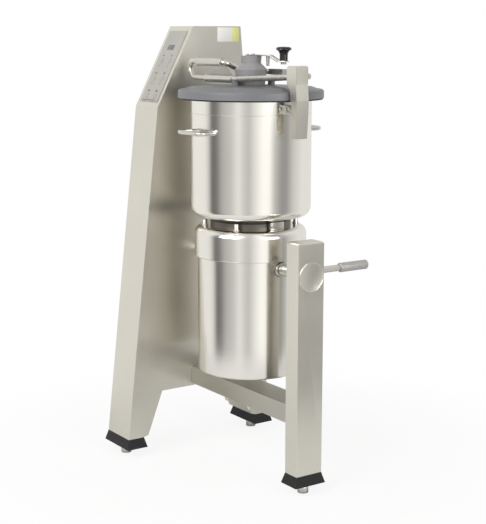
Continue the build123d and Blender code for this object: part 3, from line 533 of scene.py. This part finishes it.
class MIXER_OT_panel(bpy.types.Operator):
    """Builds the control panel's foil, window and key symbols"""

    bl_idname = "mixer.panel"
    bl_label = "Control panel"

    def execute(self, context):
        dress("panel_foil", "control_plate")
        keys = [f"panel_key_{number}" for number in range(1, 7)]
        dress("key_foil", *keys)
        dress("board_green", "key_board")
        low, high = (Vector(corner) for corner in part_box("control_plate"))
        up = Vector((0.0, high.y - low.y, high.z - low.z)).normalized()
        out = Vector((0.0, -up.z, up.y))
        middle = (low + high) / 2 + out * FOIL_LIFT
        across = Vector((1.0, 0.0, 0.0))
        turn = Matrix((across, up, out)).transposed().to_4x4()
        half = (high - low).dot(up) / 2

        def spot(side, rise):
            return Matrix.Translation(middle + across * side + up * rise) @ turn

        bm = bmesh.new()
        small_box(bm, spot(WINDOW_SIDE, half - WINDOW_DROP), WINDOW_SIZE)
        place_piece(bm, "panel_window", "window_glass", "frame")
        size = context.scene.mixer_trim.mark_size
        bm = bmesh.new()
        for number, key in enumerate(keys):
            near, far = (Vector(corner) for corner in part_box(key))
            centre = (near + far) / 2
            side = centre.x - middle.x
            rise = (centre - middle).dot(up)
            for step in range(3):
                tall = size * (0.3 + 0.3 * ((number + step) % 3))
                small_box(bm, spot(side + size * 0.6 * (step - 1), rise + MARK_ABOVE),
                          (size * 0.3, tall, MARK_SHEET))
            small_box(bm, spot(side, rise - MARK_BELOW), (size * 0.5, size * 0.4, MARK_SHEET))
        small_box(bm, spot(0.0, -half + FOOT_LINE_RISE), FOOT_LINE_SIZE)
        place_piece(bm, "panel_marks", "mark_ink", "frame")
        return {"FINISHED"}


class MIXER_OT_frame_tubes(bpy.types.Operator):
    """Dresses the beam and the bearing post, with the nuts under the beam"""

    bl_idname = "mixer.frame_tubes"
    bl_label = "Beam and post"

    def execute(self, context):
        trim = context.scene.mixer_trim
        dressed_copy("cross_beam", "satin_lengthwise", trim.edge_round, 0.3)
        dressed_copy("post_tube", "satin_upright", trim.edge_round, 0.3)
        dressed_copy("axle_cover", "satin_upright", 0.0006, 0.5)
        dress("dull_steel", "bearing_housings")
        dress("machined_bronze", "axle_bushes")
        low, high = (Vector(corner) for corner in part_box("cross_beam"))
        bm = bmesh.new()
        for share in NUT_SHARES:
            place = Vector((low.x + (high.x - low.x) * share, low.y + NUT_INSET, low.z))
            ball_nut(bm, place, trim.nut_radius, NUT_DEPTH)
        place_piece(bm, "beam_nuts", "bright_bar", "frame", angle=0.8)
        low, high = (Vector(corner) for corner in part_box("axle_cover"))
        self.ring_line(high.x, (low + high) / 2, (high.z - low.z) / 2 - COVER_INSET)
        return {"FINISHED"}

    def ring_line(self, face, centre, radius):
        # Bright raised line round the axle's cover.
        points = [(face - COVER_SINK + COVER_RAISE * math.sin(angle),
                   centre.y + radius + COVER_WIDTH * math.cos(angle), centre.z)
                  for angle in (math.pi * step / 7 for step in range(8))]
        bm = spun_level(points, centre, 96)
        place_piece(bm, "axle_cover_line", "bright_bar", "frame")


class MIXER_OT_feet(bpy.types.Operator):
    """Dresses the rubber boots and their feet"""

    bl_idname = "mixer.feet"
    bl_label = "Feet"

    def execute(self, context):
        dressed_copy("rubber_boots", "rubber_compound", 0.0015, 0.3)
        dressed_copy("levelling_glides", "bright_bar", 0.0)
        return {"FINISHED"}


class MIXER_OT_motor(bpy.types.Operator):
    """Dresses the motor's cylinder, its cover, axles and lever"""

    bl_idname = "mixer.motor"
    bl_label = "Motor"

    def execute(self, context):
        dressed_copy("motor_shell", "satin_motor")
        dressed_copy("motor_cover", "satin_motor")
        dressed_copy("tilt_axles", "bright_bar", 0.0008)
        dressed_copy("tilt_lever", "bright_bar", 0.0012)
        dressed_copy("lever_grip", "ribbed_grip", 0.0008)
        dressed_copy("stop_block", "bright_bar", 0.001)
        dressed_copy("seat_studs", "bright_bar", 0.0004)
        dressed_copy("seat_ring", "dark_brown_steel")
        dressed_copy("bowl_base_ring", "black_moulding")
        dress("satin_motor", "motor_base")
        dress("dark_cast", "motor_stator", "rotor_core")
        dress("dull_steel", "end_shields")
        dress("bright_bar", "shaft_bearings", "motor_shaft")
        dress("black_moulding", "cooling_fan", "motor_inverter")
        dress("rubber_compound", "shaft_seal")
        trim = context.scene.mixer_trim
        cover_low, cover_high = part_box("motor_cover")
        edge = (cover_high[0] - cover_low[0]) / 2
        line = [(edge + out, cover_low[2] + rise) for out, rise in MOTOR_SEAM]
        place_piece(spun(line, trim.spin_steps), "motor_seam", "bright_bar", "drive")
        # Black ring round the axle's boss: painted shade of the gap between boss and motor, in the rubber
        # finish.
        low, high = (Vector(corner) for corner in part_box("tilt_axles"))
        centre = Vector((shell_high[0] - SHADE_RING_SINK, (low.y + high.y) / 2, (low.z + high.z) / 2))
        points = [centre + Vector((SHADE_RING_RAISE * math.sin(angle),
                                   trim.boss_radius + SHADE_RING_WIDTH * math.cos(angle), 0.0))
                  for angle in (math.tau * step / 8 for step in range(8))]
        bm = spun_level(points, centre, 64)
        place_piece(bm, "axle_boss_shade_ring", "rubber_compound", "drive")
        return {"FINISHED"}


class MIXER_OT_bowl(bpy.types.Operator):
    """Dresses the bowl with its rolled line, handles and blades"""

    bl_idname = "mixer.bowl"
    bl_label = "Bowl"

    def execute(self, context):
        trim = context.scene.mixer_trim
        dressed_copy("bowl", "polished_bowl", 0.0, 0.9)
        dressed_copy("bowl_handles", "bright_bar", 0.0, 1.0)
        dressed_copy("blades", "bright_plate", 0.0008, 0.5)
        dressed_copy("blade_hub", "bright_bar", 0.001)
        dressed_copy("blade_nut", "black_moulding")
        radius = (bowl_high[0] - bowl_low[0]) / 2
        height = bowl_high[2] - trim.line_drop
        half = trim.line_height / 2
        inside, outside = radius - BOWL_LINE_DEPTH, radius + BOWL_LINE_DEPTH
        line = [(inside, height - half), (outside, height - half / 2),
                (outside, height + half / 2), (inside, height + half)]
        place_piece(spun(line, trim.spin_steps), "bowl_line", "bright_bar", "bowl")
        return {"FINISHED"}


class MIXER_OT_lid(bpy.types.Operator):
    """Dresses the lid, its gasket and the feed chimney"""

    bl_idname = "mixer.lid"
    bl_label = "Lid"

    def execute(self, context):
        dressed_copy("lid_rim", "lid_moulding", 0.0, 0.9)
        dressed_copy("lid_dome", "dome_moulding", 0.0, 0.9)
        dressed_copy("lid_gasket", "rubber_compound")
        dressed_copy("lid_chimney", "chimney_moulding", 0.0, 0.9)
        dressed_copy("scraper_bush", "white_moulding")
        return {"FINISHED"}


class MIXER_OT_lid_arm(bpy.types.Operator):
    """Dresses the hinge bracket, the lid's fork and its handle"""

    bl_idname = "mixer.lid_arm"
    bl_label = "Lid arm"

    def execute(self, context):
        trim = context.scene.mixer_trim
        dressed_copy("hinge_bracket", "satin_upright", 0.0, 0.1)
        self.bracket_hood(trim.hood_height, trim.hood_corner)
        dressed_copy("hinge_pin", "bright_bar", 0.001)
        dressed_copy("bracket_standoff", "bright_bar", 0.0005)
        dressed_copy("arm_knuckle", "bright_bar", 0.001)
        dressed_copy("arm_legs", "bright_bar", 0.0, 1.0)
        dressed_copy("arm_gusset", "dull_steel", 0.0006)
        dressed_copy("lid_handle", "bright_bar", 0.0, 0.9)
        dressed_copy("lid_handle_grip", "bright_bar", 0.0, 0.9)
        # Dark ring over the grip's open end: painted shade of the hollow inside the sleeve.
        low, high = (Vector(corner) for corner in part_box("lid_handle_grip"))
        centre = Vector((low.x + GRIP_SINK, (low.y + high.y) / 2, (low.z + high.z) / 2))
        points = [centre + Vector((along, radius, 0.0)) for radius, along in GRIP_MOUTH]
        bm = spun_level(points, centre, 48)
        place_piece(bm, "grip_mouth_shade", "painted_hollow_shade", "lid")
        return {"FINISHED"}

    def bracket_hood(self, height, corner):
        # Folded head of the bracket: two cheeks and a bent back that stays
        # clear of the arm when the lid stands open.
        low, high = (Vector(point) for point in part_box("hinge_bracket"))
        pin_low, pin_high = (Vector(point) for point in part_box("arm_knuckle"))
        pin = (pin_low + pin_high) / 2
        eye = high.z - pin.z
        near, far = low.y - HOOD_LIP, high.y + HOOD_LIP
        left, right = pin.x - eye - HOOD_LIP, pin.x + eye + HOOD_LIP
        foot, top = pin.z - eye, pin.z + height
        clear = pin.x + HOOD_CLEAR
        bm = bmesh.new()
        cheek = ((left, foot), (left, top), (right, top), (right, foot))
        for start, end in ((near, near + HOOD_SHEET), (far - HOOD_SHEET, far)):
            upright_plate(bm, cheek, {1: corner * HOOD_FRONT, 2: corner}, start, end)
        back = ((right, foot), (right, top), (clear, top), (clear, top - HOOD_SHEET),
                (right - HOOD_SHEET, top - HOOD_SHEET), (right - HOOD_SHEET, foot))
        upright_plate(bm, back, {1: corner, 4: corner - HOOD_SHEET},
                      near + HOOD_SHEET * HOOD_OVERLAP, far - HOOD_SHEET * HOOD_OVERLAP)
        bmesh.ops.recalc_face_normals(bm, faces=bm.faces)
        place_piece(bm, "bracket_hood", "satin_upright", "bowl", angle=0.05)


class MIXER_OT_scraper(bpy.types.Operator):
    """Dresses the crank, its knob and the scraper in the bowl"""

    bl_idname = "mixer.scraper"
    bl_label = "Scraper"

    def execute(self, context):
        dressed_copy("scraper_crank", "bright_bar", 0.0005, 0.6)
        dressed_copy("scraper_shaft", "bright_bar", 0.0006)
        dressed_copy("scraper_arm", "bright_bar", 0.0008)
        dressed_copy("scraper_wipers", "white_moulding", 0.0008)
        dressed_copy("crank_knob", "black_knob", 0.0, 0.9)
        return {"FINISHED"}


class MIXER_OT_stage(bpy.types.Operator):
    """Sets the pale floor, the soft lights and the camera"""

    bl_idname = "mixer.stage"
    bl_label = "Studio"

    def execute(self, context):
        studio = context.scene.mixer_studio
        context.scene.view_settings.view_transform = "Standard"
        self.floor()
        self.world(studio.world_level)
        self.light("key_light", Vector(KEY_PLACE), Vector(AIM), KEY_SIZE, studio.key_power)
        self.light("fill_light", Vector(FILL_PLACE), Vector(AIM), FILL_SIZE, studio.fill_power)
        self.camera(studio.lens)
        return {"FINISHED"}

    def floor(self):
        # Round pale floor that keeps the shadow and fades out to white.
        bm = bmesh.new()
        bmesh.ops.create_circle(bm, cap_ends=True, segments=96, radius=FLOOR_RADIUS)
        mesh = bpy.data.meshes.new("studio_floor")
        bm.to_mesh(mesh)
        bm.free()
        floor = bpy.data.objects.new("studio_floor", mesh)
        bpy.context.scene.collection.objects.link(floor)
        material, tree, shader = start_material("floor_paper")
        shader.inputs["Roughness"].default_value = 0.9
        shader.inputs["Specular IOR Level"].default_value = 0.1
        paper = object_noise(tree, 40.0, EVEN, 2.0)
        shade = spread(tree, paper, 0.995, 1.005)
        tree.links.new(tinted(tree, FLOOR_PAPER, shade), shader.inputs["Base Color"])
        place = tree.nodes.new("ShaderNodeTexCoord")
        length = tree.nodes.new("ShaderNodeVectorMath")
        length.operation = "LENGTH"
        tree.links.new(place.outputs["Object"], length.inputs[0])
        fade = tree.nodes.new("ShaderNodeMapRange")
        fade.interpolation_type = "SMOOTHSTEP"
        fade.inputs["From Min"].default_value = FLOOR_RADIUS * FADE_START
        fade.inputs["From Max"].default_value = FLOOR_RADIUS * FADE_END
        fade.inputs["To Min"].default_value = FADE_LEVEL
        fade.inputs["To Max"].default_value = 1.0
        tree.links.new(length.outputs["Value"], fade.inputs["Value"])
        glow = tree.nodes.new("ShaderNodeEmission")
        rays = tree.nodes.new("ShaderNodeLightPath")
        mix = tree.nodes.new("ShaderNodeMixShader")
        share = product(tree, rays.outputs["Is Camera Ray"], fade.outputs["Result"])
        tree.links.new(share, mix.inputs["Fac"])
        tree.links.new(shader.outputs["BSDF"], mix.inputs[1])
        tree.links.new(glow.outputs["Emission"], mix.inputs[2])
        tree.links.new(mix.outputs["Shader"], tree.nodes["Material Output"].inputs["Surface"])
        mesh.materials.append(material)

    def world(self, level):
        # Room: white for the camera, light and dark bands for a gloss, and the
        # same bands at a softer level as light.
        world = bpy.context.scene.world or bpy.data.worlds.new("room")
        bpy.context.scene.world = world
        world.use_nodes = True
        tree = world.node_tree
        back = tree.nodes["Background"]
        rays = tree.nodes.new("ShaderNodeLightPath")
        place = tree.nodes.new("ShaderNodeTexCoord")
        split = tree.nodes.new("ShaderNodeSeparateXYZ")
        tree.links.new(place.outputs["Generated"], split.inputs["Vector"])
        turn = tree.nodes.new("ShaderNodeMath")
        turn.operation = "ARCTAN2"
        tree.links.new(split.outputs["Y"], turn.inputs[0])
        tree.links.new(split.outputs["X"], turn.inputs[1])
        lap = tree.nodes.new("ShaderNodeMapRange")
        lap.inputs["From Min"].default_value = -math.pi
        lap.inputs["From Max"].default_value = math.pi
        tree.links.new(turn.outputs[0], lap.inputs["Value"])
        ramp = tree.nodes.new("ShaderNodeValToRGB")
        bands = ramp.color_ramp
        for end in (0, 1):
            bands.elements[end].color = ROOM_PALE
        for spot, shade in WALL_BANDS:
            element = bands.elements.new(spot)
            element.color = (shade, shade * 0.99, shade * 0.97, 1.0)
        tree.links.new(lap.outputs["Result"], ramp.inputs["Fac"])
        seen = tree.nodes.new("ShaderNodeMix")
        seen.data_type = "RGBA"
        seen.inputs["B"].default_value = (1.0, 1.0, 1.0, 1.0)
        tree.links.new(rays.outputs["Is Camera Ray"], seen.inputs["Factor"])
        tree.links.new(ramp.outputs["Color"], seen.inputs["A"])
        tree.links.new(seen.outputs["Result"], back.inputs["Color"])
        power = tree.nodes.new("ShaderNodeMath")
        power.operation = "MAXIMUM"
        tree.links.new(rays.outputs["Is Camera Ray"], power.inputs[0])
        gloss = tree.nodes.new("ShaderNodeMath")
        gloss.operation = "MAXIMUM"
        gloss.inputs[1].default_value = level
        tree.links.new(rays.outputs["Is Glossy Ray"], gloss.inputs[0])
        tree.links.new(gloss.outputs[0], power.inputs[1])
        tree.links.new(power.outputs[0], back.inputs["Strength"])

    def light(self, name, place, aim, size, power):
        lamp = bpy.data.lights.new(name, "AREA")
        lamp.shape = "SQUARE"
        lamp.size = size
        lamp.energy = power
        holder = bpy.data.objects.new(name, lamp)
        holder.location = place
        holder.rotation_euler = (aim - place).to_track_quat("-Z", "Y").to_euler()
        bpy.context.scene.collection.objects.link(holder)

    def camera(self, lens):
        lens_data = bpy.data.cameras.new("camera")
        lens_data.lens = lens
        lens_data.sensor_width = 36.0
        lens_data.clip_end = 100.0
        camera = bpy.data.objects.new("camera", lens_data)
        camera.location = CAMERA_PLACE
        camera.rotation_euler = CAMERA_TURN
        bpy.context.scene.collection.objects.link(camera)
        bpy.context.scene.camera = camera


class MIXER_PT_panel(bpy.types.Panel):
    """Lists the steps of the dressing"""

    bl_idname = "MIXER_PT_panel"
    bl_label = "Cutter mixer"
    bl_space_type = "VIEW_3D"
    bl_region_type = "UI"
    bl_category = "Mixer"

    def draw(self, context):
        for group in (context.scene.mixer_finishes, context.scene.mixer_trim, context.scene.mixer_studio):
            for name in group.__annotations__:
                self.layout.prop(group, name)
        for step in STEPS:
            self.layout.operator(step.bl_idname)


STEPS = (MIXER_OT_column, MIXER_OT_panel, MIXER_OT_frame_tubes, MIXER_OT_feet, MIXER_OT_motor,
         MIXER_OT_bowl, MIXER_OT_lid, MIXER_OT_lid_arm, MIXER_OT_scraper, MIXER_OT_stage)
GROUPS = (MixerFinishes, MixerTrim, MixerStudio)


def register():
    for group in GROUPS:
        bpy.utils.register_class(group)
    for step in STEPS:
        bpy.utils.register_class(step)
    bpy.utils.register_class(MIXER_PT_panel)
    bpy.types.Scene.mixer_finishes = PointerProperty(type=MixerFinishes)
    bpy.types.Scene.mixer_trim = PointerProperty(type=MixerTrim)
    bpy.types.Scene.mixer_studio = PointerProperty(type=MixerStudio)


def unregister():
    del bpy.types.Scene.mixer_studio
    del bpy.types.Scene.mixer_trim
    del bpy.types.Scene.mixer_finishes
    bpy.utils.unregister_class(MIXER_PT_panel)
    for step in reversed(STEPS):
        bpy.utils.unregister_class(step)
    for group in reversed(GROUPS):
        bpy.utils.unregister_class(group)


def main():
    register()
    for step in STEPS:
        group, name = step.bl_idname.split(".")
        getattr(getattr(bpy.ops, group), name)()


if __name__ == "__main__":
    main()
